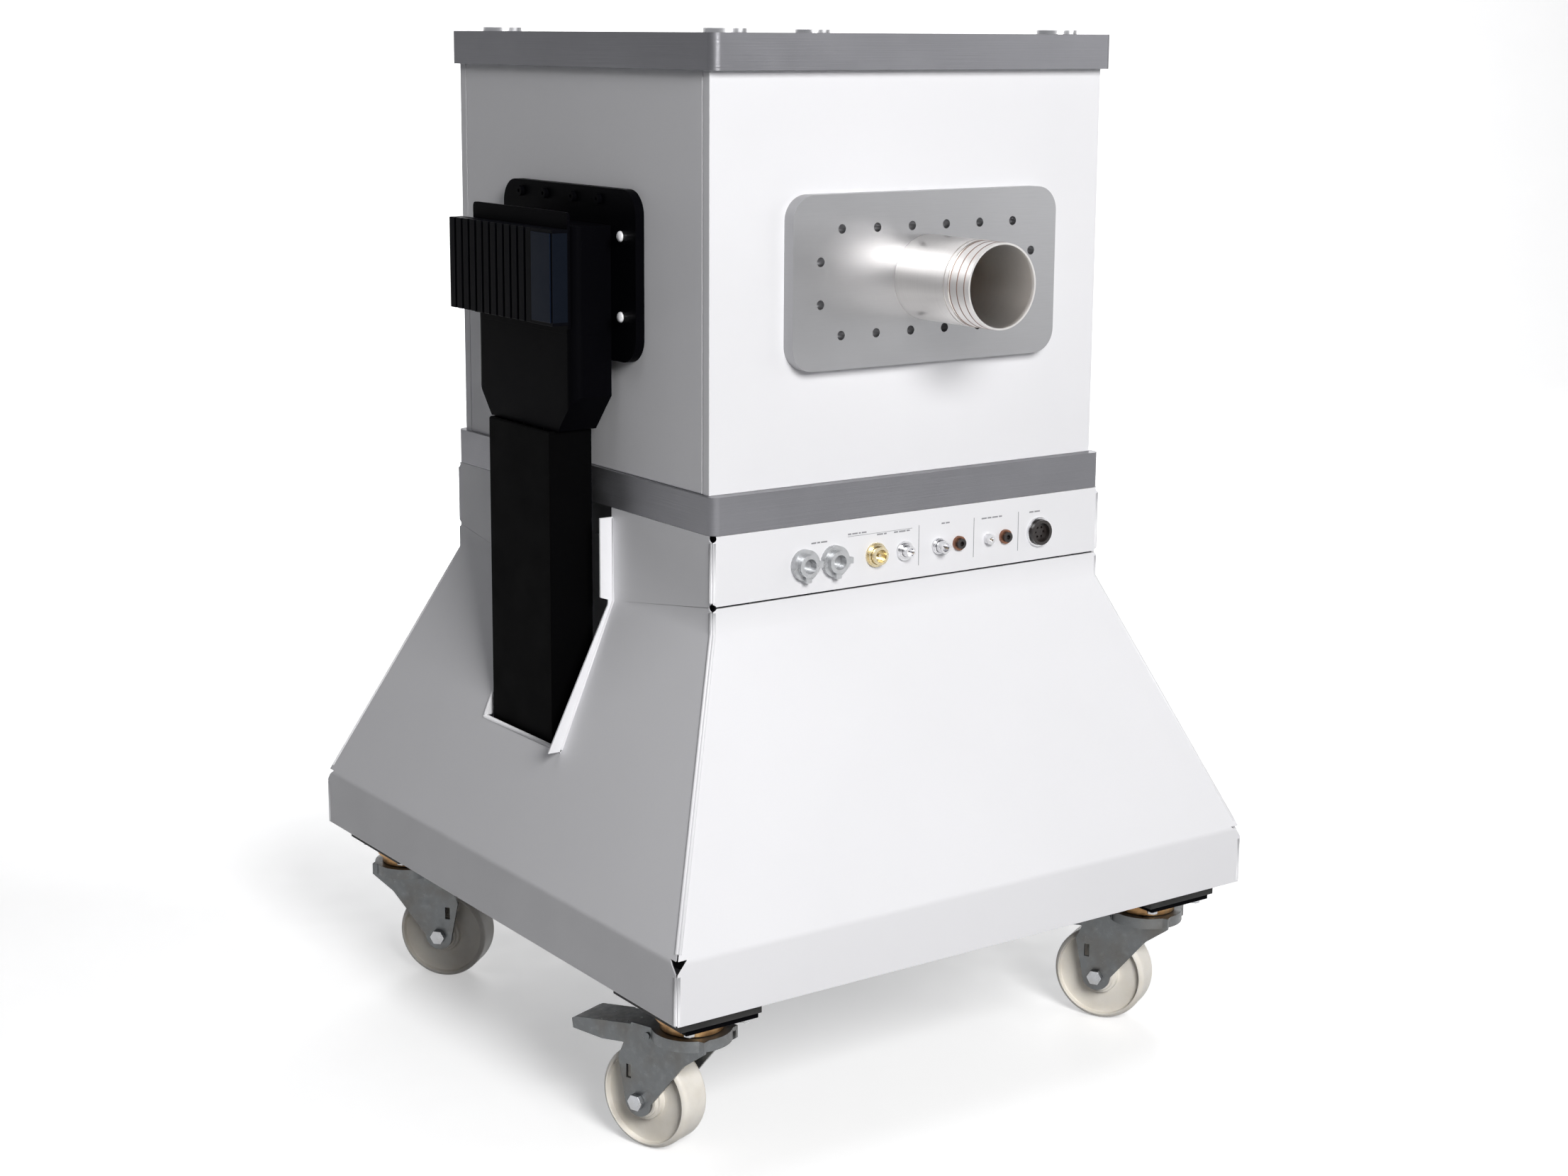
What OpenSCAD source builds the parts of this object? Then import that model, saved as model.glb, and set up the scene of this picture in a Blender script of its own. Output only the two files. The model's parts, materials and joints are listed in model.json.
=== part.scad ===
// Mobile instrument cabinet on four braked swivel casters.
// Origin: centre of the footprint, on the floor. +Z up, front face looks along -Y.

/* [Cabinet] */
// Width of the two metal plates (mm)
plate_w = 600; // [600:1:610]
// Depth of the two metal plates (mm)
plate_d = 620; // [620:1:630]
// Thickness of the middle plate (mm)
mid_t = 45; // [40:1:45]
// Thickness of the top plate (mm)
top_t = 42; // [36:1:48]
// Underside height of the top plate above the floor (mm)
top_z = 1255; // [1240:1:1280]

/* [Skirt] */
// Outward flare of the skirt on each side (mm)
flare = 140; // [136:1:145]
// Gap left at the corner seams (mm)
seam = 3; // [2:0.5:4]
// Skirt sheet thickness (mm)
sheet_t = 3; // [2:0.5:4]

/* [Port] */
// Outer diameter of the open port tube (mm)
tube_od = 103; // [98:0.5:106]
// Bore diameter of the port tube (mm)
tube_id = 94; // [90:0.5:94]
// Diameter of the sixteen flange holes (mm)
hole_d = 11; // [8:0.5:12]

/* [Casters] */
// Wheel diameter (mm)
wheel_d = 125; // [121:1:126]
// Horizontal offset of the wheel from its swivel axis (mm)
trail = 55; // [53:1:56]

/* [Hidden] */
$fn = 64;
skirt_z0 = 205;
band_z = 276;
bend_z = 608;
split_z = 640;
mid_z = 725;
box_z0 = mid_z + mid_t;
hx = plate_w / 2;
hy = plate_d / 2;
box_x = 294;
box_y = 295;
wall = 3;
core_wall = 20;
wrap = 14;
port_x = 10;
port_z = 1010;
flange_w = 400;
flange_h = 206;
flange_t = 18;
flange_y = -box_y - flange_t;
tube_y = -450;
side_z = 1011;
hood_x = -306;
hood_face = -360;
slot_y0 = -88;
slot_y1 = 103;
slot_z = 429;
swivel = 360;
wheel_r = wheel_d / 2;
wheel_w = 46;
leg_in = 29;
leg_t = 4;
crown_z = 154;
pin_r = 8;
axle_r = 10;
run_gap = 0.08;
pivot_x = 40;
pivot_z = 148;
pad_z = 185;
caster_rot = [110, 118, -50, -120];

module rounded_plate(w, h, r, t) {
  linear_extrude(t)
    union() {
      square([w - 2 * r, h], center = true);
      square([w, h - 2 * r], center = true);
      for (sx = [-1, 1])
        for (sy = [-1, 1])
          translate([sx * (w / 2 - r), sy * (h / 2 - r)])
            circle(r);
    }
}

module front_facing(x, y, z) {
  translate([x, y, z])
    rotate([90, 0, 0])
      children();
}

module corners(ax, ay) {
  for (sx = [-1, 1])
    for (sy = [-1, 1])
      translate([sx * ax, sy * ay, 0])
        children();
}

// ---- frame and plates ----
module base_frame() {
  color([0.2, 0.2, 0.22])
    difference() {
      union() {
        difference() {
          translate([-410, -410, skirt_z0])
            cube([820, 820, 50]);
          translate([-320, -320, skirt_z0 - 1])
            cube([640, 640, 52]);
        }
        for (s = [-1, 1])
          translate([-330, s * 245 - 25, skirt_z0])
            cube([660, 50, 50]);
        corners(245, 245)
          translate([-25, -25, skirt_z0 + 40])
            cube([50, 50, mid_z - skirt_z0 - 40]);
        difference() {
          translate([-270, -270, mid_z - 50])
            cube([540, 540, 50]);
          translate([-220, -220, mid_z - 51])
            cube([440, 440, 52]);
        }
      }
      corners(swivel, swivel)
        corners(38, 52)
          translate([0, 0, skirt_z0 - 1])
            cylinder(h = 31, r = 4.25);
    }
}

module caster_pads() {
  color([0.04, 0.04, 0.04])
    for (sx = [-1, 1])
      for (sy = [-1, 1])
        difference() {
          translate([sx * 362 - 56, sy * 352 - 73.5, pad_z])
            cube([112, 147, skirt_z0 - pad_z]);
          translate([sx * swivel, sy * swivel, pad_z - 1])
            corners(38, 52)
              cylinder(h = 30, r = 4.25);
        }
}

// Skirt panel seen from its own side: profile runs outwards along +X, panel faces +X.
module skirt_section(half) {
  top = half;
  foot = half + flare;
  linear_extrude(1000, center = true)
    polygon([[top - sheet_t, mid_z - 0.5], [top, mid_z - 0.5], [top, bend_z], [foot, band_z],
      [foot, skirt_z0], [foot - sheet_t, skirt_z0], [foot - sheet_t, band_z - 0.8],
      [top - sheet_t, bend_z - 0.8]]);
}

module skirt_panel(half, other) {
  skew = other - half - seam / 2;
  difference() {
    intersection() {
      rotate([90, 0, 0])
        skirt_section(half);
      translate([0, 0, 100])
        linear_extrude(700)
          polygon([[200, -200 - skew], [500, -500 - skew], [500, 500 + skew], [200, 200 + skew]]);
    }
    for (s = [-1, 1]) {
      for (z = [split_z, mid_z - 3])
        translate([half, s * other, z])
          rotate([0, 90, s * 45])
            cylinder(h = 30, r = 4.5, center = true);
      translate([half + flare, s * (other + flare), band_z])
        rotate([0, 90, s * 45])
          cylinder(h = 40, r = 11, center = true, $fn = 3);
    }
  }
}

module skirt_left() {
  color([0.92, 0.92, 0.93])
    union() {
      difference() {
        mirror([1, 0, 0])
          skirt_panel(hx, hy);
        translate([-hx - flare, slot_y0, slot_z])
          cube([flare + 20, slot_y1 - slot_y0, mid_z - slot_z + 10]);
      }
      intersection() {
        translate([0, slot_y0, 0])
          rotate([90, 0, 0])
            linear_extrude(2.5)
              polygon([[-hx + 2, mid_z - 12], [-hx - 18, mid_z - 12], [-hx - 18, bend_z + 6],
                [-hx - 7, bend_z + 2], [-hx - 7, bend_z - 4], [-hx - 94, slot_z - 2],
                [-hx - 70, slot_z - 2], [-hx + 2, bend_z - 4]]);
        translate([-hx - flare, -200, slot_z - 2])
          cube([flare + 2, 400, mid_z - slot_z]);
      }
      translate([0, slot_y1 + 2.5, 0])
        rotate([90, 0, 0])
          linear_extrude(2.5)
            polygon([[-hx, mid_z - 12], [-hx, bend_z], [-hx - 76, slot_z], [-hx - 62, slot_z],
              [-hx + 14, bend_z], [-hx + 14, mid_z - 12]]);
    }
}

module skirt_right() {
  color([0.92, 0.92, 0.93])
    skirt_panel(hx, hy);
}

module skirt_front() {
  color([0.92, 0.92, 0.93])
    difference() {
      rotate([0, 0, -90])
        skirt_panel(hy, hx);
      translate([-400, -hy - 5, split_z - 1.2])
        cube([800, 20, 100]);
    }
}

module skirt_rear() {
  color([0.92, 0.92, 0.93])
    rotate([0, 0, 90])
      skirt_panel(hy, hx);
}

module connector_panel() {
  color([0.9, 0.9, 0.92])
    difference() {
      intersection() {
        rotate([0, 0, -90])
          skirt_panel(hy, hx);
        translate([-400, -hy - 5, split_z + 1.2])
          cube([800, 20, 100]);
      }
      for (c = [[-169, 13], [-125, 13], [-62, 10], [-18, 8], [35, 7], [67, 6.5], [114, 5],
                [142, 6.5], [197, 12]])
        front_facing(c[0], -hy + 10, 677)
          cylinder(h = 20, r = c[1] + 0.2);
    }
}

module plate_blank(z, t) {
  translate([0, 0, z])
    rounded_plate(plate_w, plate_d, 12, t);
}

module mid_plate() {
  color([0.6, 0.6, 0.62])
    difference() {
      plate_blank(mid_z, mid_t);
      translate([0, 0, mid_z - 1])
        cylinder(h = mid_t + 2, r = 45);
    }
}

module top_plate() {
  color([0.6, 0.6, 0.62])
    difference() {
      plate_blank(top_z, top_t);
      corners(250, 260)
        translate([0, 0, top_z + top_t - 20])
          cylinder(h = 21, r = 10.05);
    }
}

module lift_hole_caps() {
  color([0.75, 0.75, 0.77])
    corners(250, 260)
      union() {
        translate([0, 0, top_z + top_t])
          cylinder(h = 5, r = 25);
        translate([0, 0, top_z + top_t - 18])
          cylinder(h = 19, r = 10);
      }
}

module corner_posts() {
  color([0.55, 0.55, 0.57])
    corners(276, 277)
      translate([-15, -15, box_z0])
        cube([30, 30, top_z - box_z0]);
}

// Front or rear sheet of the box: its two edges are folded round the corners.
module folded_sheet() {
  difference() {
    translate([-box_x, -box_y, box_z0])
      cube([2 * box_x, wrap, top_z - box_z0]);
    translate([-box_x + wall, -box_y + wall, box_z0 - 1])
      cube([2 * (box_x - wall), wrap, top_z - box_z0 + 2]);
  }
}

// Flat side sheet that fills the space between the folded edges.
module side_sheet() {
  translate([-box_x, -box_y + wrap + 0.8, box_z0])
    cube([wall, 2 * (box_y - wrap - 0.8), top_z - box_z0]);
}

module box_front() {
  color([0.94, 0.94, 0.95])
    difference() {
      folded_sheet();
      front_facing(port_x, -box_y + 10, port_z)
        cylinder(h = 20, r = tube_od / 2 + 3);
    }
}

module box_rear() {
  color([0.94, 0.94, 0.95])
    difference() {
      mirror([0, 1, 0])
        folded_sheet();
      for (k = [-4 : 4])
        translate([k * 26 - 3, box_y - wall - 1, box_z0 + 40])
          cube([6, wall + 2, 90]);
    }
}

module box_left() {
  color([0.94, 0.94, 0.95])
    difference() {
      side_sheet();
      translate([-box_x - 1, -50, side_z - 40])
        cube([wall + 2, 100, 80]);
    }
}

module box_right() {
  color([0.94, 0.94, 0.95])
    mirror([1, 0, 0])
      side_sheet();
}

// ---- front port ----
module flange_holes() {
  for (k = [-2.5 : 1 : 2.5])
    for (s = [-1, 1])
      translate([k * 52, s * 62.5, 0])
        children();
  for (sx = [-1, 1])
    for (sz = [-1, 1])
      translate([sx * 160.5, sz * 25, 0])
        children();
}

module port_flange() {
  color([0.62, 0.62, 0.64])
    difference() {
      front_facing(port_x, -box_y, port_z)
        rounded_plate(flange_w, flange_h, 30, flange_t);
      front_facing(port_x, -box_y + 1, port_z)
        cylinder(h = flange_t + 2, r = tube_od / 2 + run_gap);
      front_facing(port_x, -box_y - 3, port_z)
        flange_holes()
          cylinder(h = flange_t, r = hole_d / 2, $fn = 32);
    }
}

module port_tube() {
  r = tube_od / 2;
  color([0.7, 0.69, 0.67])
    front_facing(port_x, 0, port_z)
      difference() {
        rotate_extrude($fn = 96)
          difference() {
            translate([0, 240])
              square([r, -tube_y - 240]);
            translate([-1, 239])
              square([tube_id / 2 + 1, -tube_y]);
            for (k = [[38, 3.5], [46, 2.5]])
              translate([r - 1.4, -tube_y - k[0]])
                square([3, k[1]]);
            translate([r - 0.7, -tube_y - 35])
              square([3, 36]);
          }
        translate([0, 0, -tube_y - 4])
          cylinder(h = 5, r1 = tube_id / 2, r2 = tube_id / 2 + 2);
      }
}

module port_gasket() {
  color([0.08, 0.08, 0.08])
    front_facing(port_x, -box_y + wall, port_z)
      difference() {
        cylinder(h = wall, r = tube_od / 2 + 3);
        translate([0, 0, -1])
          cylinder(h = wall + 2, r = tube_od / 2 + run_gap);
      }
}

module core_housing() {
  color([0.5, 0.51, 0.54])
    difference() {
      union() {
        translate([-180, -235, port_z - 170])
          cube([380, 470, 340]);
        for (sx = [-150, 170])
          for (sy = [-190, 190])
            translate([sx, sy, box_z0])
              cylinder(h = port_z - 169 - box_z0, r = 28);
      }
      translate([-180 + core_wall, -235 + core_wall, port_z - 170 + core_wall])
        cube([380 - 2 * core_wall, 470 - 2 * core_wall, 340 - 2 * core_wall]);
      front_facing(port_x, 236, port_z)
        cylinder(h = 480, r = 70);
    }
}

module core_liner() {
  color([0.75, 0.6, 0.35])
    front_facing(port_x, 232, port_z)
      difference() {
        cylinder(h = 464, r = 69.9);
        translate([0, 0, -1])
          cylinder(h = 466, r = tube_od / 2 - 4.5);
      }
}

// ---- left side hood and duct ----
module side_flange() {
  color([0.05, 0.05, 0.06])
    difference() {
      translate([-box_x, 2.5, side_z])
        rotate([90, 0, -90])
          rounded_plate(317, 206, 30, 12);
      translate([hood_x - 1, -40, side_z - 30])
        cube([14, 80, 60]);
      side_screw_places()
        cylinder(h = 20, r = 3.1, center = true);
    }
}

module side_screw_places() {
  for (p = [[-130, 1059], [-130, 963], [151, 1059], [151, 963], [114, 1100], [54, 1100],
            [-14, 1100], [-74, 1100]])
    translate([hood_x, p[0], p[1]])
      rotate([0, -90, 0])
        children();
}

module side_flange_screws() {
  color([0.8, 0.8, 0.82])
    side_screw_places()
      difference() {
        union() {
          cylinder(h = 5, r = 6.5, $fn = 32);
          translate([0, 0, -9])
            cylinder(h = 10, r = 3, $fn = 32);
        }
        translate([0, 0, 2])
          cylinder(h = 4, r = 2.6, $fn = 6);
      }
}

module hood_outline(y0, y1, z0, z1, r) {
  union() {
    translate([y0 + r, z0])
      square([y1 - y0 - 2 * r, z1 - z0]);
    translate([y0, z0])
      square([y1 - y0, z1 - z0 - r]);
    for (y = [y0 + r, y1 - r])
      translate([y, z1 - r])
        circle(r);
  }
}

// Vertical prism with rounded outer corners: x from hood_x outwards to hood_face.
module hood_prism(y0, y1, z0, z1, r) {
  translate([0, 0, z0])
    linear_extrude(z1 - z0)
      union() {
        translate([hood_face, y0 + r])
          square([hood_x - hood_face, y1 - y0 - 2 * r]);
        translate([hood_face + r, y0])
          square([hood_x - hood_face - r, y1 - y0]);
        for (y = [y0 + r, y1 - r])
          translate([hood_face + r, y])
            circle(r);
      }
}

module hood_body() {
  color([0.05, 0.05, 0.06])
    difference() {
      hood_prism(-100, 140, 941, 1070, 14);
      translate([hood_face + 4, -95, 940])
        cube([hood_x - hood_face - 3, 230, 126]);
    }
}

module hood_neck() {
  color([0.06, 0.06, 0.07])
    difference() {
      intersection() {
        hood_prism(-100, 140, 820, 941, 14);
        translate([-400, 0, 0])
          rotate([90, 0, 90])
            linear_extrude(120)
              polygon([[-101, 942], [-101, 866], [-62, 819], [102, 819], [141, 866], [141, 942]]);
      }
      translate([hood_face + 4, -95, 866])
        cube([hood_x - hood_face - 8, 230, 80]);
      translate([hood_face + 4, -56, 819])
        cube([hood_x - hood_face - 8, 152, 60]);
    }
}

module hood_face_plate() {
  color([0.04, 0.04, 0.05])
    translate([hood_face, 0, 0])
      rotate([90, 0, -90])
        mirror([1, 0, 0])
          linear_extrude(4)
            hood_outline(-96, 136, 948, 1087, 6);
}

module heat_sink() {
  x0 = hood_face - 4;
  color([0.05, 0.055, 0.07])
    union() {
      translate([x0 - 8, -98, 953])
        cube([8, 263, 114]);
      for (k = [0 : 11])
        translate([x0 - 20, -44 + k * 17.6, 953])
          cube([13, 12.6, 114]);
      translate([x0 - 22, -98, 953])
        cube([15, 50, 114]);
    }
}

module blank_plate() {
  color([0.09, 0.13, 0.19])
    translate([hood_face - 27.5, -95, 957])
      cube([1.5, 45, 106]);
}

module cable_duct() {
  color([0.09, 0.09, 0.1])
    difference() {
      translate([-368, -55, 300])
        cube([60, 150, 520]);
      translate([-365, -52, 299])
        cube([54, 144, 522]);
    }
}

module duct_cables() {
  color([0.12, 0.12, 0.13])
    for (k = [0 : 4])
      translate([-338, -30 + k * 25, 262])
        cylinder(h = 640 + k * 8, r = 8, $fn = 32);
}

// ---- items inside the skirt ----
module equipment_shelf() {
  color([0.5, 0.5, 0.52])
    translate([-219, -268, skirt_z0 + 50])
      cube([438, 536, 3]);
}

module power_supply() {
  color([0.65, 0.66, 0.68])
    difference() {
      translate([-120, -150, skirt_z0 + 53])
        cube([260, 300, 120]);
      translate([-117, -147, skirt_z0 + 56])
        cube([254, 294, 114]);
      for (k = [0 : 9])
        translate([-95 + k * 23, -151, skirt_z0 + 80])
          cube([8, 6, 70]);
    }
}

module terminal_block() {
  color([0.2, 0.35, 0.3])
    difference() {
      translate([-205, -90, skirt_z0 + 53])
        cube([50, 180, 45]);
      for (k = [0 : 8])
        translate([-180, -80 + k * 20, skirt_z0 + 88])
          cylinder(h = 12, r = 5, $fn = 24);
    }
}

// ---- connectors on the front panel ----
module stub(x, r_hole, r_face, proud, bore, depth) {
  front_facing(x, -hy, 677)
    difference() {
      union() {
        cylinder(h = proud, r = r_face, $fn = 48);
        translate([0, 0, -26])
          cylinder(h = 27, r = r_hole, $fn = 48);
      }
      translate([0, 0, proud - depth])
        cylinder(h = depth + 1, r = bore, $fn = 48);
    }
}

module hose_couplings() {
  color([0.55, 0.56, 0.58])
    for (x = [-169, -125])
      union() {
        stub(x, 13, 19, 7, 9, 5);
        stub(x, 13, 14, 14, 9, 12);
      }
}

module gold_connector() {
  color([0.8, 0.62, 0.25])
    union() {
      stub(-62, 10, 15, 3, 8, 2);
      stub(-62, 10, 11, 12, 8, 11);
      front_facing(-62, -hy, 677)
        cylinder(h = 9, r = 2.2, $fn = 24);
    }
}

module coax_connectors() {
  color([0.8, 0.8, 0.82])
    union() {
      stub(-18, 8, 12, 3, 5, 1);
      stub(-18, 8, 7, 14, 5, 8);
      stub(35, 7, 10, 3, 5, 1);
      stub(35, 7, 7.5, 16, 5, 12);
      stub(114, 5, 6.5, 8, 3, 4);
    }
}

module dark_jacks() {
  color([0.1, 0.07, 0.06])
    for (x = [67, 142])
      stub(x, 6.5, 6.5, 8, 3, 5);
}

module jack_rings() {
  color([0.6, 0.28, 0.15])
    for (x = [67, 142])
      front_facing(x, -hy, 677)
        difference() {
          cylinder(h = 4, r = 9, $fn = 48);
          translate([0, 0, -1])
            cylinder(h = 6, r = 6.6, $fn = 48);
        }
}

module multipin_socket() {
  color([0.2, 0.2, 0.22])
    difference() {
      stub(197, 12, 16, 9, 12, 6);
      for (k = [0 : 5])
        front_facing(197 + 6.5 * cos(k * 60), -hy, 677 + 6.5 * sin(k * 60))
          cylinder(h = 4, r = 1.6, $fn = 16);
    }
}

// ---- casters ----
module caster_plates() {
  color([0.72, 0.5, 0.28])
    corners(swivel, swivel)
      difference() {
        union() {
          translate([-50, -64, pad_z - 6])
            cube([100, 128, 6]);
          translate([0, 0, pad_z - 14])
            cylinder(h = 9, r = 44);
          translate([0, 0, crown_z + 5.5])
            cylinder(h = pad_z - 14 - crown_z, r = 38);
        }
        translate([0, 0, crown_z])
          cylinder(h = pad_z - crown_z + 1, r = pin_r + 0.02);
        corners(38, 52)
          translate([0, 0, pad_z - 12])
            cylinder(h = 20, r = 4.25);
      }
}

module caster_bolts() {
  color([0.7, 0.7, 0.72])
    corners(swivel, swivel)
      corners(38, 52)
        union() {
          translate([0, 0, pad_z - 11.5])
            cylinder(h = 5.5, r = 7, $fn = 6);
          translate([0, 0, pad_z - 7])
            cylinder(h = 52, r = 4, $fn = 32);
        }
}

module kingpins() {
  color([0.66, 0.67, 0.7])
    corners(swivel, swivel)
      union() {
        translate([0, 0, crown_z - 8])
          cylinder(h = pad_z - crown_z + 8, r = pin_r);
        translate([0, 0, crown_z - 9])
          cylinder(h = 8.5, r = 12, $fn = 6);
      }
}

module at_caster(n) {
  sx = n % 2 == 0 ? -1 : 1;
  sy = n < 2 ? -1 : 1;
  translate([sx * swivel, sy * swivel, 0])
    rotate([0, 0, caster_rot[n]])
      children();
}

module leg_outline() {
  difference() {
    union() {
      polygon([[-42, crown_z + 5], [-42, crown_z - 10], [-12, 122], [trail - 19, wheel_r],
        [trail + 19, wheel_r], [trail + 29, 112], [trail + 9, crown_z + 5]]);
      translate([trail, wheel_r])
        circle(19);
    }
    translate([trail + 10, wheel_r + 26])
      square([7, 17]);
  }
}

module fork(n) {
  color([0.55, 0.58, 0.62])
    at_caster(n)
      difference() {
        union() {
          for (s = [-1, 1])
            translate([0, s * (leg_in + leg_t / 2) + leg_t / 2, 0])
              rotate([90, 0, 0])
                linear_extrude(leg_t)
                  leg_outline();
          translate([-42, -leg_in - 1, crown_z])
            cube([72, 2 * leg_in + 2, 5]);
          translate([0, 0, crown_z])
            cylinder(h = 5, r = 48);
          translate([0, 0, crown_z - 9])
            difference() {
              cylinder(h = 10, r = 48);
              translate([0, 0, -1])
                cylinder(h = 10, r = 45);
              translate([10, -leg_in, -2])
                cube([60, 2 * leg_in, 14]);
            }
        }
        translate([0, 0, crown_z - 1])
          cylinder(h = 8, r = pin_r + run_gap);
        translate([trail, 0, wheel_r])
          rotate([90, 0, 0])
            cylinder(h = 90, r = 6.02, center = true);
        translate([pivot_x, 0, pivot_z])
          rotate([90, 0, 0])
            cylinder(h = 110, r = 4 + run_gap, center = true);
      }
}

module axle(n) {
  color([0.62, 0.64, 0.68])
    at_caster(n)
      translate([trail, 0, wheel_r])
        rotate([90, 0, 0])
          union() {
            cylinder(h = 2 * leg_in - 0.2, r = axle_r, center = true);
            cylinder(h = 80, r = 6, center = true);
            for (s = [-1, 1])
              translate([0, 0, s * (leg_in + leg_t + 3.6)])
                cylinder(h = 7, r = 10.5, center = true, $fn = 6);
          }
}

module wheel(n) {
  color([0.9, 0.89, 0.85])
    at_caster(n)
      translate([trail, 0, wheel_r])
        rotate([90, 0, 0])
          rotate_extrude($fn = 96)
            difference() {
              union() {
                translate([axle_r + run_gap, -wheel_w / 2])
                  square([wheel_r - 8 - axle_r - run_gap, wheel_w]);
                translate([wheel_r - 9, -wheel_w / 2 + 8])
                  square([9, wheel_w - 16]);
                for (s = [-1, 1])
                  translate([wheel_r - 8, s * (wheel_w / 2 - 8)])
                    circle(8);
                translate([axle_r + run_gap, -28])
                  square([12, 56]);
              }
              for (s = [-1, 1])
                translate([26, s * 23 - 8])
                  square([30, 16]);
            }
}

module pedal(n) {
  color([0.5, 0.53, 0.57])
    at_caster(n)
      difference() {
        union() {
          translate([pivot_x, 0, pivot_z])
            rotate([90, 0, 0])
              cylinder(h = 70, r = 4, center = true);
          rotate([90, 0, 0])
            linear_extrude(52, center = true)
              polygon([[pivot_x - 6, pivot_z - 5], [pivot_x + 26, 127.3], [pivot_x + 44, 127.3],
                [114, 124], [158, 127], [160, 139], [154, 142], [pivot_x + 30, pivot_z + 5],
                [pivot_x - 6, pivot_z + 5]]);
        }
        translate([pivot_x + 48, -22, 110])
          cube([80, 44, 23]);
      }
}

base_frame();
caster_pads();
skirt_left();
skirt_right();
skirt_front();
skirt_rear();
connector_panel();
mid_plate();
corner_posts();
box_front();
box_left();
box_right();
box_rear();
top_plate();
lift_hole_caps();
port_flange();
port_tube();
port_gasket();
core_housing();
core_liner();
side_flange();
side_flange_screws();
hood_body();
hood_neck();
hood_face_plate();
heat_sink();
blank_plate();
cable_duct();
duct_cables();
terminal_block();
power_supply();
equipment_shelf();
hose_couplings();
gold_connector();
coax_connectors();
dark_jacks();
jack_rings();
multipin_socket();
caster_plates();
caster_bolts();
kingpins();
fork(0);  // fork_fl
fork(1);  // fork_fr
fork(2);  // fork_rl
fork(3);  // fork_rr
axle(0);  // axle_fl
axle(1);  // axle_fr
axle(2);  // axle_rl
axle(3);  // axle_rr
wheel(0);  // wheel_fl
wheel(1);  // wheel_fr
wheel(2);  // wheel_rl
wheel(3);  // wheel_rr
pedal(0);  // pedal_fl
pedal(1);  // pedal_fr
pedal(2);  // pedal_rl
pedal(3);  // pedal_rr
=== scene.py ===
import json
import math

import bpy
from mathutils import Matrix, Vector


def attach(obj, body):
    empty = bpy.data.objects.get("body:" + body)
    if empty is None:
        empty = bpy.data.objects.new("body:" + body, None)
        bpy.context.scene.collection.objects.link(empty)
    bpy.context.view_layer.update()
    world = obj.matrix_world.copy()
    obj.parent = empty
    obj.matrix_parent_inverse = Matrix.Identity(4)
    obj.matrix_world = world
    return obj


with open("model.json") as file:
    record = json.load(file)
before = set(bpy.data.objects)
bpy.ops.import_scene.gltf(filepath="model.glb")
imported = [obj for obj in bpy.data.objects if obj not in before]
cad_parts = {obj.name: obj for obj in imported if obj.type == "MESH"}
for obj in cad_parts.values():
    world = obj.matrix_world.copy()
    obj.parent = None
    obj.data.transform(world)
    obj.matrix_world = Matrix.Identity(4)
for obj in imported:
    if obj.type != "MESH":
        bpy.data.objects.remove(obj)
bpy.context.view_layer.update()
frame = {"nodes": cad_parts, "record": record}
NODES = frame["nodes"]


# ---------------------------------------------------------------- materials
def link(tree, a, b):
    tree.links.new(a, b)


def noise(tree, coords, scale, detail=4.0, stretch=(1, 1, 1)):
    mapping = tree.nodes.new("ShaderNodeMapping")
    mapping.inputs["Scale"].default_value = stretch
    link(tree, coords, mapping.inputs["Vector"])
    tex = tree.nodes.new("ShaderNodeTexNoise")
    tex.inputs["Scale"].default_value = scale
    tex.inputs["Detail"].default_value = detail
    link(tree, mapping.outputs["Vector"], tex.inputs["Vector"])
    return tex.outputs[0]


def remap(tree, value, to_min, to_max, from_min=0.3, from_max=0.7):
    node = tree.nodes.new("ShaderNodeMapRange")
    node.inputs["From Min"].default_value = from_min
    node.inputs["From Max"].default_value = from_max
    node.inputs["To Min"].default_value = to_min
    node.inputs["To Max"].default_value = to_max
    link(tree, value, node.inputs["Value"])
    return node.outputs["Result"]


def blend_colour(tree, factor, a, b):
    node = tree.nodes.new("ShaderNodeMix")
    node.data_type = "RGBA"
    link(tree, factor, node.inputs[0])
    for socket, value in ((node.inputs[6], a), (node.inputs[7], b)):
        if hasattr(value, "links"):
            link(tree, value, socket)
        else:
            socket.default_value = (*value, 1.0)
    return node.outputs[2]


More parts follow.
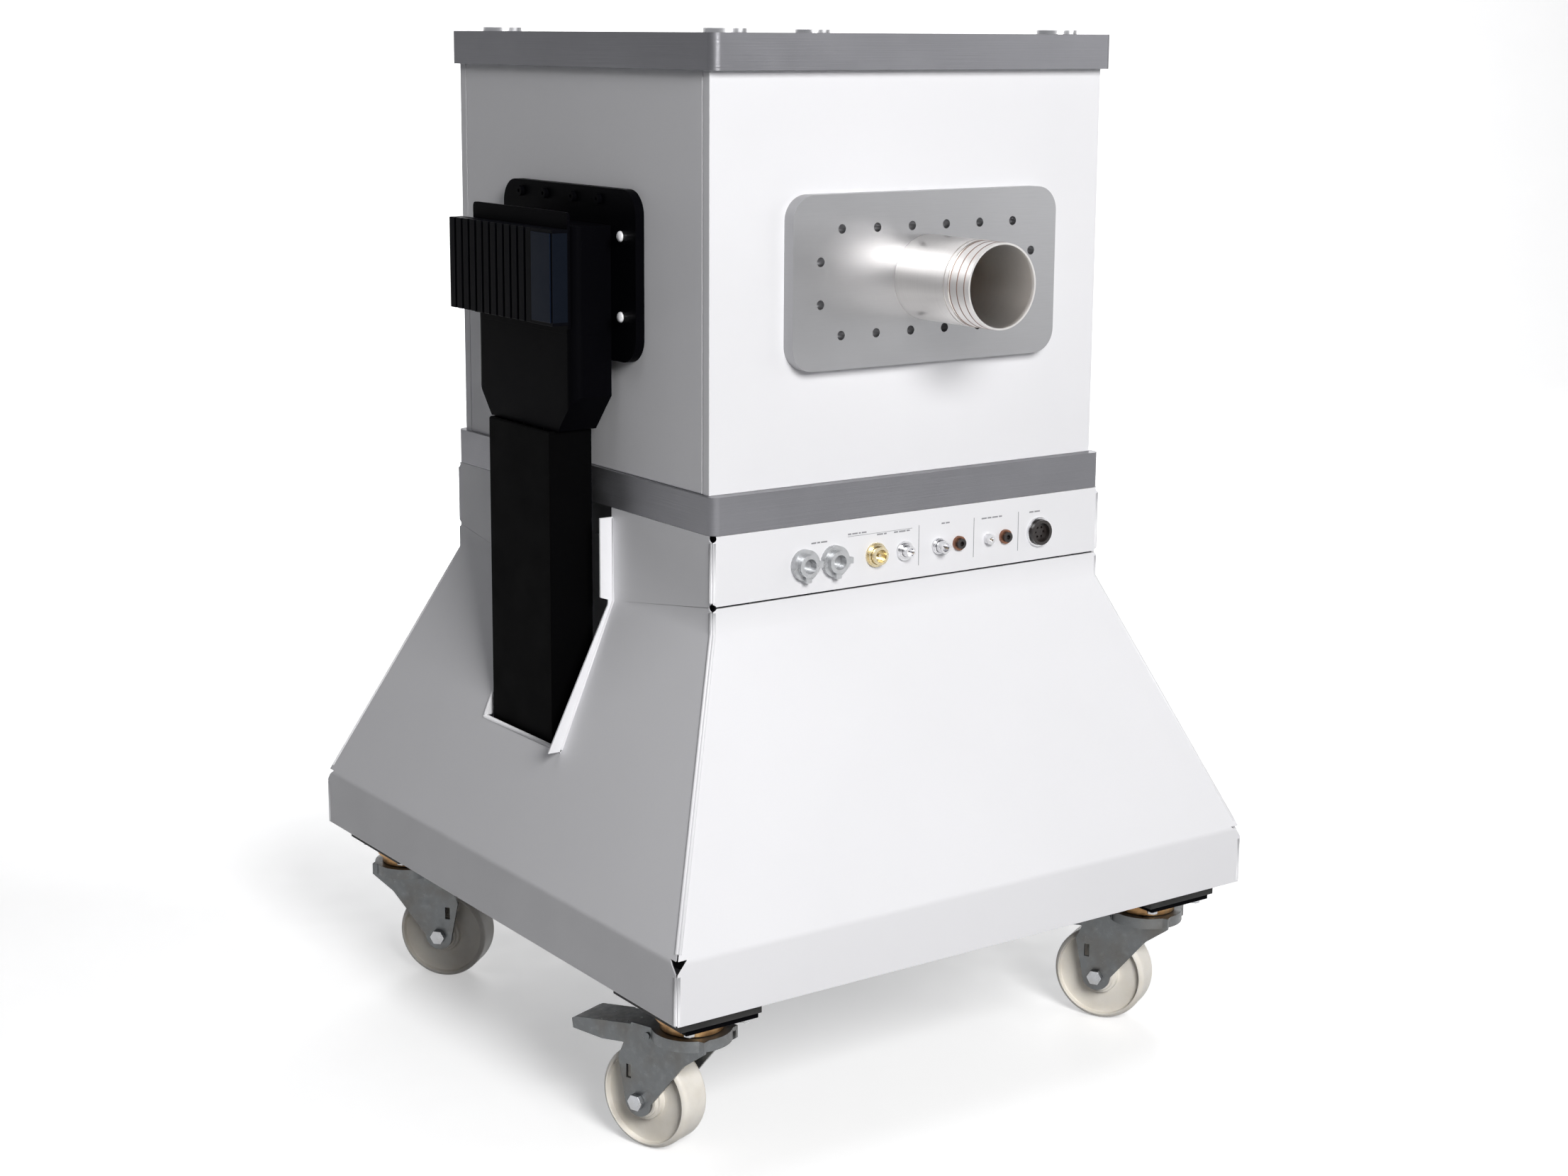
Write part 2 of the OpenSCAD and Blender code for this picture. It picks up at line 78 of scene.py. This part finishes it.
# Every material is procedural: broad tone, fine grain with relief, uneven roughness and optional soil.
def material(name, base, rough, metal=0.0, tone=0.05, tone_scale=5.0, grain=500.0, stretch=(1, 1, 1),
             bump=0.06, rough_var=0.06, coat=0.0, aniso=0.0, soil=None, soil_scale=9.0, soil_amount=0.25,
             fleck=None, fleck_scale=60.0, subsurface=0.0, specular=0.5):
    mat = bpy.data.materials.new(name)
    mat.use_nodes = True
    tree = mat.node_tree
    shader = tree.nodes["Principled BSDF"]
    coords = tree.nodes.new("ShaderNodeTexCoord").outputs["Object"]
    broad = noise(tree, coords, tone_scale, 6.0)
    fine = noise(tree, coords, grain, 3.0, stretch)
    dark = [c * (1 - tone) for c in base]
    light = [min(1.0, c * (1 + tone)) for c in base]
    colour = blend_colour(tree, remap(tree, broad, 0, 1), dark, light)
    colour = blend_colour(tree, remap(tree, fine, 0, 0.5), colour, [c * (1 - tone * 1.5) for c in base])
    if fleck:
        spots = noise(tree, coords, fleck_scale, 5.0)
        colour = blend_colour(tree, remap(tree, spots, 0, 0.8, 0.52, 0.72), colour, fleck)
    if soil:
        grime = noise(tree, coords, soil_scale, 8.0)
        colour = blend_colour(tree, remap(tree, grime, 0, soil_amount, 0.45, 0.75), colour, soil)
    link(tree, colour, shader.inputs["Base Color"])
    patchy = noise(tree, coords, tone_scale * 4.3, 6.0)
    link(tree, remap(tree, patchy, rough - rough_var, rough + rough_var), shader.inputs["Roughness"])
    shader.inputs["Metallic"].default_value = metal
    shader.inputs["Specular IOR Level"].default_value = specular
    shader.inputs["Coat Weight"].default_value = coat
    shader.inputs["Coat Roughness"].default_value = 0.25
    shader.inputs["Anisotropic"].default_value = aniso
    if subsurface:
        shader.inputs["Subsurface Weight"].default_value = subsurface
        shader.inputs["Subsurface Radius"].default_value = (0.004, 0.0038, 0.003)
        shader.inputs["Subsurface Scale"].default_value = 0.5
    relief = tree.nodes.new("ShaderNodeBump")
    relief.inputs["Strength"].default_value = bump
    relief.inputs["Distance"].default_value = 0.0008
    link(tree, fine, relief.inputs["Height"])
    link(tree, relief.outputs["Normal"], shader.inputs["Normal"])
    return mat


MATS = {
    "white_coat": material("white powder coat", (0.80, 0.80, 0.825), 0.42, tone=0.012, grain=620, bump=0.05,
                           rough_var=0.05, soil=(0.62, 0.62, 0.63), soil_scale=3.0, soil_amount=0.05),
    "brushed_plate": material("brushed aluminium", (0.235, 0.235, 0.25), 0.40, 1.0, tone=0.06, grain=1.0,
                              stretch=(7, 7, 1100), bump=0.22, rough_var=0.05, aniso=0.5),
    "brushed_steel": material("brushed stainless plate", (0.40, 0.40, 0.41), 0.38, 1.0, tone=0.04,
                              tone_scale=5, grain=1.0, stretch=(22, 22, 900), bump=0.10, rough_var=0.025,
                              aniso=0.4),
    "turned_steel": material("turned stainless tube", (0.82, 0.80, 0.78), 0.32, 1.0, tone=0.05, grain=1.0,
                             stretch=(2, 260, 2), bump=0.05, rough_var=0.02, aniso=0.0),
    "black_coat": material("satin black paint", (0.0020, 0.0020, 0.0028), 0.36, tone=0.15, grain=700,
                           bump=0.06, rough_var=0.05, soil=(0.004, 0.004, 0.005), soil_amount=0.2,
                           specular=0.012),
    "black_anodised": material("black anodised fins", (0.0028, 0.0030, 0.0045), 0.36, 0.0, tone=0.15,
                               grain=1.0, stretch=(300, 300, 12), bump=0.08, soil=(0.006, 0.006, 0.008),
                               soil_amount=0.2, specular=0.02),
    "blue_grey_plate": material("blue grey plate", (0.0035, 0.0075, 0.018), 0.42, 0.0, tone=0.12, grain=1.0,
                                stretch=(40, 40, 900), bump=0.05, specular=0.05),
    "duct_black": material("duct black", (0.0020, 0.0020, 0.0022), 0.5, tone=0.12, grain=800, bump=0.08,
                           soil=(0.005, 0.005, 0.005), soil_amount=0.2, specular=0.01),
    "black_rubber": material("black rubber", (0.012, 0.012, 0.012), 0.7, tone=0.2, grain=900, bump=0.2,
                             soil=(0.09, 0.085, 0.08), soil_amount=0.3),
    "satin_cap": material("satin cap", (0.80, 0.80, 0.81), 0.3, 1.0, tone=0.05, grain=1200, bump=0.06),
    "bright_steel": material("bright steel", (0.74, 0.74, 0.76), 0.16, 1.0, tone=0.05, grain=1500, bump=0.05,
                             soil=(0.35, 0.33, 0.3), soil_scale=90, soil_amount=0.3),
    "zinc_fork": material("zinc plated pressing", (0.16, 0.168, 0.172), 0.36, 0.85, tone=0.06, tone_scale=28,
                          grain=900, bump=0.14, rough_var=0.1, fleck=(0.19, 0.198, 0.202), fleck_scale=140,
                          soil=(0.12, 0.10, 0.075), soil_scale=26, soil_amount=0.5),
    "zinc_steel": material("zinc plated steel", (0.50, 0.51, 0.53), 0.30, 1.0, tone=0.1, tone_scale=40,
                           grain=1200, bump=0.1, soil=(0.25, 0.22, 0.16), soil_scale=50, soil_amount=0.35),
    "yellow_zinc": material("yellow passivated zinc", (0.55, 0.31, 0.13), 0.36, 0.75, tone=0.2, tone_scale=30,
                            grain=900, bump=0.12, fleck=(0.62, 0.45, 0.24), fleck_scale=70,
                            soil=(0.10, 0.055, 0.03), soil_scale=45, soil_amount=0.7),
    "white_nylon": material("white nylon", (0.90, 0.86, 0.79), 0.38, tone=0.03, grain=500, bump=0.06,
                            soil=(0.52, 0.46, 0.36), soil_scale=22, soil_amount=0.35, subsurface=0.15),
    "grey_plastic": material("grey coupling", (0.52, 0.53, 0.545), 0.30, 0.5, tone=0.08, grain=1500,
                             bump=0.05, soil=(0.2, 0.2, 0.2), soil_scale=120, soil_amount=0.3),
    "gold_plate": material("gold plate", (0.74, 0.65, 0.45), 0.28, 1.0, tone=0.1, tone_scale=80, grain=1600,
                           bump=0.05, soil=(0.4, 0.28, 0.12), soil_scale=130, soil_amount=0.3),
    "dark_plastic": material("dark socket", (0.022, 0.017, 0.016), 0.32, tone=0.2, grain=1600, bump=0.05),
    "copper_ring": material("copper ring", (0.28, 0.13, 0.08), 0.34, 0.8, tone=0.15, tone_scale=120,
                            grain=1500, bump=0.06),
    "frame_steel": material("frame paint", (0.10, 0.10, 0.115), 0.5, tone=0.12, grain=500, bump=0.12,
                            soil=(0.2, 0.19, 0.17), soil_amount=0.3),
    "zinc_sheet": material("zinc sheet", (0.45, 0.46, 0.48), 0.38, 0.9, tone=0.12, tone_scale=20, grain=300,
                           bump=0.1),
    "core_paint": material("core paint", (0.30, 0.32, 0.36), 0.45, tone=0.08, grain=450, bump=0.15),
    "coil_resin": material("amber resin", (0.36, 0.2, 0.06), 0.25, tone=0.15, grain=200, bump=0.1, coat=0.4),
    "cable_jacket": material("cable jacket", (0.02, 0.02, 0.022), 0.5, tone=0.15, grain=900, bump=0.1),
    "green_plastic": material("terminal plastic", (0.05, 0.15, 0.11), 0.45, tone=0.1, grain=900, bump=0.08),
}
PRINT = material("grey print", (0.30, 0.30, 0.32), 0.55, tone=0.15, grain=900, bump=0.03)
# Dark reddish metal for the rings that stand for the tube's grooves: painted shade of the grooves.
GROOVE_SHADE_METAL = material("painted groove shade ring", (0.26, 0.17, 0.14), 0.4, 0.8, tone=0.15, grain=900, bump=0.05)
# Darker, less blue copy of the blue grey plate colour for its front-facing wrap: painted shade.
PLATE_WRAP_PAINTED_SHADE = material("blue grey plate with painted shade", (0.0045, 0.0065, 0.0115), 0.42, tone=0.12, grain=700, bump=0.05,
                      specular=0.05)
# Pale, barely metallic cap colour: painted reflection standing in for the shine of the bright screw heads.
DOME_PAINTED_SHEEN = material("pale dome with painted sheen", (0.86, 0.86, 0.88), 0.35, 0.25, tone=0.05, grain=900, bump=0.03)
PIN_METAL = material("contact metal", (0.55, 0.42, 0.25), 0.3, 1.0, tone=0.1, grain=1500, bump=0.05)


# ---------------------------------------------------------------- CAD nodes
BEVELS = {
    "white_coat": (0.0011, 3), "brushed_plate": (0.0016, 3), "brushed_steel": (0.0012, 3),
    "turned_steel": (0.0005, 2), "black_coat": (0.0014, 3), "black_anodised": (0.0007, 2),
    "blue_grey_plate": (0.0005, 2), "duct_black": (0.0022, 3), "black_rubber": (0.0012, 2),
    "satin_cap": (0.0010, 3), "bright_steel": (0.0005, 2), "zinc_fork": (0.0010, 2),
    "zinc_steel": (0.0007, 2), "yellow_zinc": (0.0009, 2), "white_nylon": (0.0012, 2),
    "grey_plastic": (0.0007, 2), "gold_plate": (0.0005, 2), "dark_plastic": (0.0005, 2),
    "copper_ring": (0.0004, 2),
}

# Turned parts are shaded without a bevel; a few pierced sheets and box sections stay flat-shaded.
ROUND = ("port_tube", "port_gasket", "gold_connector", "coax_connectors", "multipin_socket",
         "dark_jacks", "jack_rings", "hose_couplings")
FLAT = ("connector_panel", "box_rear", "base_frame", "power_supply")


def smooth_with_bevel(obj, width, segments):
    for poly in obj.data.polygons:
        poly.use_smooth = True
    weld = obj.modifiers.new("weld", "WELD")
    weld.merge_threshold = 0.00001
    bevel = obj.modifiers.new("edge", "BEVEL")
    bevel.width = width
    bevel.segments = segments
    bevel.limit_method = "ANGLE"
    bevel.angle_limit = math.radians(32)
    bevel.use_clamp_overlap = True
    flat = obj.modifiers.new("flat faces", "WEIGHTED_NORMAL")
    flat.mode = "FACE_AREA"
    flat.weight = 90
    flat.thresh = 0.02


def smooth_turned(obj):
    """Turned parts keep their round faces smooth and their edges crisp."""
    for poly in obj.data.polygons:
        poly.use_smooth = True
    weld = obj.modifiers.new("weld", "WELD")
    weld.merge_threshold = 0.00001
    split = obj.modifiers.new("edges", "EDGE_SPLIT")
    split.split_angle = math.radians(28)


for part in frame["record"]["subparts"]:
    obj = NODES[part["node"]]
    slot_name = part["material_slot"]
    obj.data.materials.clear()
    obj.data.materials.append(MATS[slot_name])
    width, segments = BEVELS.get(slot_name, (0.0006, 1))
    if part["node"] in FLAT:
        for poly in obj.data.polygons:
            poly.use_smooth = False
        continue
    if part["node"] in ROUND:
        smooth_turned(obj)
    else:
        smooth_with_bevel(obj, width, segments)

# The square mounting plates of the casters are black; only their races, which lie lower, are yellow.
RACE_TOP_Z = 0.1787
top_plates = NODES["caster_plates"].data
top_plates.materials.append(MATS["black_coat"])
for poly in top_plates.polygons:
    poly.material_index = int(poly.center.z > RACE_TOP_Z)


# ---------------------------------------------------------------- extra pieces
# Visual-only pieces made from mesh code; each one rides a CAD body.
def piece(name, verts, faces, mat, slot_name, body, bevel=0.0, smooth=False):
    mesh = bpy.data.meshes.new(name)
    mesh.from_pydata([tuple(v) for v in verts], [], faces)
    mesh.validate()
    obj = bpy.data.objects.new(name, mesh)
    bpy.context.scene.collection.objects.link(obj)
    mesh.materials.append(mat)
    if smooth:
        for poly in mesh.polygons:
            poly.use_smooth = True
    if bevel:
        mod = obj.modifiers.new("edge", "BEVEL")
        mod.width = bevel
        mod.segments = 2
        mod.limit_method = "ANGLE"
        mod.angle_limit = math.radians(35)
    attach(obj, body)
    return obj


def slabs(boxes):
    verts, faces = [], []
    for lo, hi in boxes:
        k = len(verts)
        verts += [(x, y, z) for x in (lo[0], hi[0]) for y in (lo[1], hi[1]) for z in (lo[2], hi[2])]
        faces += [[k + i for i in f] for f in ((0, 1, 3, 2), (4, 6, 7, 5), (0, 4, 5, 1), (2, 3, 7, 6),
                                               (0, 2, 6, 4), (1, 5, 7, 3))]
    return verts, faces


def turned(profile, centre, steps=48):
    """Closed ring of (radius, y) points swept about the Y direction through centre."""
    verts, faces = [], []
    n = len(profile)
    for s in range(steps):
        a = 2 * math.pi * s / steps
        verts += [(centre[0] + r * math.cos(a), y, centre[1] + r * math.sin(a)) for r, y in profile]
    for s in range(steps):
        for i in range(n):
            a, b = s * n, ((s + 1) % steps) * n
            faces.append((a + i, a + (i + 1) % n, b + (i + 1) % n, b + i))
    return verts, faces


PANEL_Y = -0.310
ROW_Z = 0.677
HOSE_X = (-0.169, -0.125)
GOLD_X = -0.062
COAX_A_X = -0.018
COAX_B_X = 0.035
SMALL_COAX_X = 0.114
MULTIPIN_X = 0.197

# Plain grey bars stand where captions would be, with thin rules between the connector groups.
# Each group gives where it starts, the widths of its bars in millimetres and its height.
BAR_GAP = 0.0016
BAR_HALF = 0.0009
BACK, PROUD_OF_PANEL = 0.0004, 0.0002
bars = []
for start, widths, z in (
    (-0.158, (7, 4, 9), 0.7015), (-0.104, (5, 8, 3, 7), 0.7065), (-0.060, (9, 4), 0.7015),
    (-0.034, (6, 10, 5), 0.7015), (0.040, (5, 6), 0.7045), (0.104, (8, 6, 9, 5), 0.7035),
    (0.182, (7, 9), 0.7035),
):
    x = start
    for w in widths:
        bars.append(((x, PANEL_Y - PROUD_OF_PANEL, z - BAR_HALF),
                     (x + w / 1000, PANEL_Y + BACK, z + BAR_HALF)))
        x += w / 1000 + BAR_GAP
bars.append(((-0.104, PANEL_Y - PROUD_OF_PANEL, 0.7034), (-0.006, PANEL_Y + BACK, 0.7039)))
for x in (0.0046, 0.0917, 0.164):
    bars.append(((x - 0.0004, PANEL_Y - PROUD_OF_PANEL, 0.656), (x + 0.0004, PANEL_Y + BACK, 0.706)))
piece("panel_print", *slabs(bars), PRINT, "grey_plastic", "cabinet")

# Latch tabs and collars that dress the row of connectors.
tabs = []
for x in HOSE_X:
    tabs.append(((x + 0.011, PANEL_Y - 0.012, ROW_Z - 0.004), (x + 0.0215, PANEL_Y - 0.006, ROW_Z + 0.004)))
    tabs.append(((x - 0.004, PANEL_Y - 0.012, ROW_Z - 0.0205), (x + 0.004, PANEL_Y - 0.006, ROW_Z - 0.011)))
piece("coupling_latches", *slabs(tabs), MATS["grey_plastic"], "grey_plastic", "cabinet", bevel=0.0008)


def collar(name, x, r0, r1, depth, mat, slot_name):
    y0, y1 = PANEL_Y, PANEL_Y - depth
    ring = [(r0, y0), (r1, y0), (r1, y1 + 0.0006), (r1 - 0.0006, y1), (r0 + 0.0004, y1), (r0, y1 + 0.0004)]
    return piece(name, *turned(ring, (x, ROW_Z)), mat, slot_name, "cabinet")


collar("multipin_ring", MULTIPIN_X, 0.0162, 0.0188, 0.0035, MATS["bright_steel"], "bright_steel")
collar("gold_nut", GOLD_X, 0.0112, 0.0135, 0.0065, MATS["gold_plate"], "gold_plate")
collar("coax_nut_a", COAX_A_X, 0.0072, 0.0095, 0.006, MATS["bright_steel"], "bright_steel")
collar("coax_nut_b", COAX_B_X, 0.0078, 0.0092, 0.006, MATS["bright_steel"], "bright_steel")

# Dark reddish rings near the mouth of the port tube stand for its three turned grooves; their dark colour is
# painted groove shade.
PORT_X, PORT_Z = 0.010, 1.010
RING_IN, RING_OUT = 0.0500, 0.0511
for n, y in enumerate((-0.4155, -0.4285, -0.4415)):
    ring = [(RING_IN, y + 0.0011), (RING_OUT, y + 0.0006), (RING_OUT, y - 0.0006), (RING_IN, y - 0.0011)]
    piece("tube_groove_shade_%d" % n, *turned(ring, (PORT_X, PORT_Z), 96), GROOVE_SHADE_METAL, "turned_steel", "cabinet")

lugs = []
for s in (-1, 1):
    lugs.append(((COAX_B_X + s * 0.0085 - 0.0016, PANEL_Y - 0.0145, ROW_Z - 0.0014),
                 (COAX_B_X + s * 0.0085 + 0.0016, PANEL_Y - 0.0115, ROW_Z + 0.0014)))
piece("bayonet_lugs", *slabs(lugs), MATS["bright_steel"], "bright_steel", "cabinet", bevel=0.0005)

pins = []
for x in (COAX_A_X, COAX_B_X, SMALL_COAX_X):
    pins.append(((x - 0.0008, PANEL_Y - 0.0075, ROW_Z - 0.0008),
                 (x + 0.0008, PANEL_Y - 0.0002, ROW_Z + 0.0008)))
piece("centre_contacts", *slabs(pins), PIN_METAL, "gold_plate", "cabinet")


def rod(points, radius, sides=10):
    """Round bar that follows a line of points, closed at both ends."""
    verts, faces = [], []
    line = [Vector(p) for p in points]
    for i, p in enumerate(line):
        along = (line[min(i + 1, len(line) - 1)] - line[max(i - 1, 0)]).normalized()
        across = along.cross(Vector((0.3, 0.9, 0.1))).normalized()
        other = along.cross(across)
        for k in range(sides):
            a = 2 * math.pi * k / sides
            verts.append(p + radius * (math.cos(a) * across + math.sin(a) * other))
    for i in range(len(line) - 1):
        for k in range(sides):
            n = (k + 1) % sides
            faces.append((i * sides + k, i * sides + n, (i + 1) * sides + n, (i + 1) * sides + k))
    faces.append(tuple(range(sides)))
    last = (len(line) - 1) * sides
    faces.append(tuple(last + k for k in reversed(range(sides))))
    return verts, faces


def joined(meshes):
    verts, faces = [], []
    for v, f in meshes:
        k = len(verts)
        verts += v
        faces += [tuple(k + i for i in face) for face in f]
    return verts, faces


# The blank plate on the finned block wraps round onto its front side. That front side has a darker, less blue
# copy of the plate colour: painted shade against the stronger light that falls there.
piece("blank_plate_wrap", *slabs([((-0.386, -0.0990, 0.957), (-0.3655, -0.0978, 1.063))]),
      PLATE_WRAP_PAINTED_SHADE, "blue_grey_plate", "cabinet", bevel=0.0004)


def dome(centre, radius, height, steps=24, rings=6):
    """Low round cap that bulges towards -X."""
    verts, faces = [], []
    for i in range(rings):
        a = math.pi / 2 * i / rings
        for k in range(steps):
            b = 2 * math.pi * k / steps
            verts.append((centre[0] - height * math.sin(a), centre[1] + radius * math.cos(a) * math.cos(b),
                          centre[2] + radius * math.cos(a) * math.sin(b)))
    verts.append((centre[0] - height, centre[1], centre[2]))
    tip = len(verts) - 1
    for i in range(rings - 1):
        for k in range(steps):
            n = (k + 1) % steps
            faces.append((i * steps + k, (i + 1) * steps + k, (i + 1) * steps + n, i * steps + n))
    last = (rings - 1) * steps
    for k in range(steps):
        faces.append((last + k, tip, last + (k + 1) % steps))
    faces.append(tuple(range(steps)))
    return verts, faces


# The two screws at the front edge of the side flange get pale, barely metallic domes whose brightness is a
# painted reflection; the rest are black.
SCREW_FACE_X, FRONT_SCREW_Y, FRONT_SCREW_ZS = -0.3108, -0.130, (1.059, 0.963)
DOME_R, DOME_HEIGHT = 0.0066, 0.0042
domes = [dome((SCREW_FACE_X, FRONT_SCREW_Y, z), DOME_R, DOME_HEIGHT) for z in FRONT_SCREW_ZS]
piece("painted_sheen_domes", *joined(domes), DOME_PAINTED_SHEEN, "bright_steel", "cabinet", smooth=True)
screws = NODES["side_flange_screws"].data
screws.materials.append(MATS["black_coat"])
for poly in screws.polygons:
    poly.material_index = int(poly.center.y > FRONT_SCREW_Y + 0.01)

# Rolled edges of the skirt sheets, one on each side of every corner seam and one round the duct opening.
BEND_Z, BAND_Z, FLARE = 0.608, 0.276, 0.140
HALF_X, HALF_Y = 0.300, 0.310
SEAM_X, SEAM_Y = 0.2985, 0.3085
EDGE_R, PROUD = 0.0024, 0.0009
SLOT_Y, SLOT_Z, SLOT_EDGE_R, SLOT_INSET = (-0.0905, 0.1055), 0.429, 0.0027, 0.0012
# The edges stop short of the relief holes at the seams.
EDGE_RUNS = ((0.717, 0.646), (0.6345, BEND_Z, 0.2875), (0.264, 0.2065))


def flare_at(z):
    return FLARE * min(1.0, max(0.0, (BEND_Z - z) / (BEND_Z - BAND_Z)))


def edge_line(half, other, levels, swap, sx, sy):
    line = []
    for z in levels:
        out = half + flare_at(z) - (EDGE_R - PROUD)
        side = other + flare_at(z)
        x, y = (side, out) if swap else (out, side)
        line.append((sx * x, sy * y, z))
    return line


def slot_point(y, z):
    return (-(HALF_X + flare_at(z) - SLOT_INSET), y, z)


edges = []
for sx in (-1, 1):
    for sy in (-1, 1):
        for levels in EDGE_RUNS:
            edges.append(rod(edge_line(HALF_X, SEAM_Y - EDGE_R, levels, False, sx, sy), EDGE_R))
            edges.append(rod(edge_line(HALF_Y, SEAM_X - EDGE_R, levels, True, sx, sy), EDGE_R))
for y in SLOT_Y:
    edges.append(rod([slot_point(y, z) for z in (0.712, BEND_Z, SLOT_Z)], SLOT_EDGE_R))
edges.append(rod([slot_point(y, SLOT_Z - 0.002) for y in SLOT_Y], SLOT_EDGE_R))
piece("rolled_edges", *joined(edges), MATS["white_coat"], "white_coat", "cabinet", smooth=True)


# ---------------------------------------------------------------- stage, light, camera
def stage_sweep():
    """Pale floor that curves up into a backdrop well behind the object."""
    near, far_height, half_width = -9.0, 9.0, 14.0
    radius, back, steps = 3.0, 6.0, 24
    profile = [(near, 0.0)]
    for i in range(steps + 1):
        a = math.pi / 2 * i / steps
        profile.append((back + radius * math.sin(a), radius * (1 - math.cos(a))))
    profile.append((back + radius, far_height))
    dx, dy = 0.574, 0.819
    verts, faces = [], []
    for along, z in profile:
        for side in (-half_width, half_width):
            verts.append((dx * along + dy * side, dy * along - dx * side, z - 0.0004))
    for i in range(len(profile) - 1):
        faces.append((2 * i, 2 * i + 1, 2 * i + 3, 2 * i + 2))
    mesh = bpy.data.meshes.new("floor")
    mesh.from_pydata(verts, [], faces)
    for poly in mesh.polygons:
        poly.use_smooth = True
    obj = bpy.data.objects.new("floor", mesh)
    bpy.context.scene.collection.objects.link(obj)
    mat = material("studio floor", (0.93, 0.93, 0.935), 0.6, tone=0.01, grain=30, bump=0.02)
    shader = mat.node_tree.nodes["Principled BSDF"]
    # Seen directly or in a reflection the floor is pale; as a source of bounced light it is dimmer.
    tree = mat.node_tree
    rays = tree.nodes.new("ShaderNodeLightPath").outputs
    either = tree.nodes.new("ShaderNodeMath")
    either.operation = "MAXIMUM"
    link(tree, rays["Is Camera Ray"], either.inputs[0])
    link(tree, rays["Is Glossy Ray"], either.inputs[1])
    shader.inputs["Emission Color"].default_value = (1.0, 1.0, 1.0, 1.0)
    link(tree, remap(tree, either.outputs[0], 0.0, 0.40, 0.0, 1.0), shader.inputs["Emission Strength"])
    bounce = shader.inputs["Base Color"].links[0].from_socket
    colour = blend_colour(tree, either.outputs[0], (0.16, 0.16, 0.165), bounce)
    link(tree, colour, shader.inputs["Base Color"])
    mesh.materials.append(mat)


def area_light(name, place, target, size, power, colour=(1, 1, 1)):
    data = bpy.data.lights.new(name, "AREA")
    data.shape = "RECTANGLE"
    data.size, data.size_y = size
    data.energy = power
    data.color = colour
    obj = bpy.data.objects.new(name, data)
    obj.location = place
    obj.rotation_euler = (Vector(target) - Vector(place)).to_track_quat("-Z", "Y").to_euler()
    bpy.context.scene.collection.objects.link(obj)
    return obj


stage_sweep()
area_light("key", (-1.05, -3.9, 2.6), (0, 0, 0.85), (1.5, 1.5), 176, (1.0, 0.995, 0.985))
area_light("right_card", (3.3, -2.5, 1.5), (0, 0, 0.9), (2.2, 1.8), 22)
area_light("left_fill", (-1.6, -0.2, 3.6), (-0.3, 0, 0.9), (1.2, 1.2), 10, (0.97, 0.98, 1.0))
area_light("top_soft", (0.2, 0.6, 4.2), (0, 0, 0.5), (3.5, 3.5), 25)
area_light("rear_fill", (2.6, 3.4, 2.6), (0, 0, 0.7), (1.8, 1.8), 35)
area_light("backdrop", (0.4, 3.2, 3.6), (3.6, 6.4, 0.6), (5.0, 3.0), 420)

world = bpy.data.worlds.new("studio")
bpy.context.scene.world = world
world.use_nodes = True
sky = world.node_tree.nodes["Background"]
sky.inputs["Color"].default_value = (0.95, 0.96, 1.0, 1.0)
world_rays = world.node_tree.nodes.new("ShaderNodeLightPath").outputs
in_mirrors = remap(world.node_tree, world_rays["Is Glossy Ray"], 0.05, 0.38, 0.0, 1.0)
strength = world.node_tree.nodes.new("ShaderNodeMath")
strength.operation = "MAXIMUM"
link(world.node_tree, in_mirrors, strength.inputs[0])
link(world.node_tree, world_rays["Is Camera Ray"], strength.inputs[1])
link(world.node_tree, strength.outputs[0], sky.inputs["Strength"])

# The camera stands where the solved view of the plate and skirt corners puts it.
CAMERA_PLACE = (-1.86075, -2.6512, 1.29644)
CAMERA_RIGHT = (0.81991, -0.57246, 0.00580)
CAMERA_AHEAD = (0.56316, 0.80469, -0.18793)
camera_data = bpy.data.cameras.new("photo_view")
camera_data.lens = 57.137
camera_data.sensor_width = 36.0
camera_data.shift_x = 0.01067
camera_data.shift_y = -0.0502
camera = bpy.data.objects.new("photo_view", camera_data)
bpy.context.scene.collection.objects.link(camera)
right = Vector(CAMERA_RIGHT).normalized()
ahead = Vector(CAMERA_AHEAD).normalized()
up = right.cross(ahead).normalized()
rows = [(right[i], up[i], -ahead[i], CAMERA_PLACE[i]) for i in range(3)]
camera.matrix_world = Matrix((*rows, (0, 0, 0, 1)))
bpy.context.scene.camera = camera
bpy.context.scene.view_settings.view_transform = "Standard"
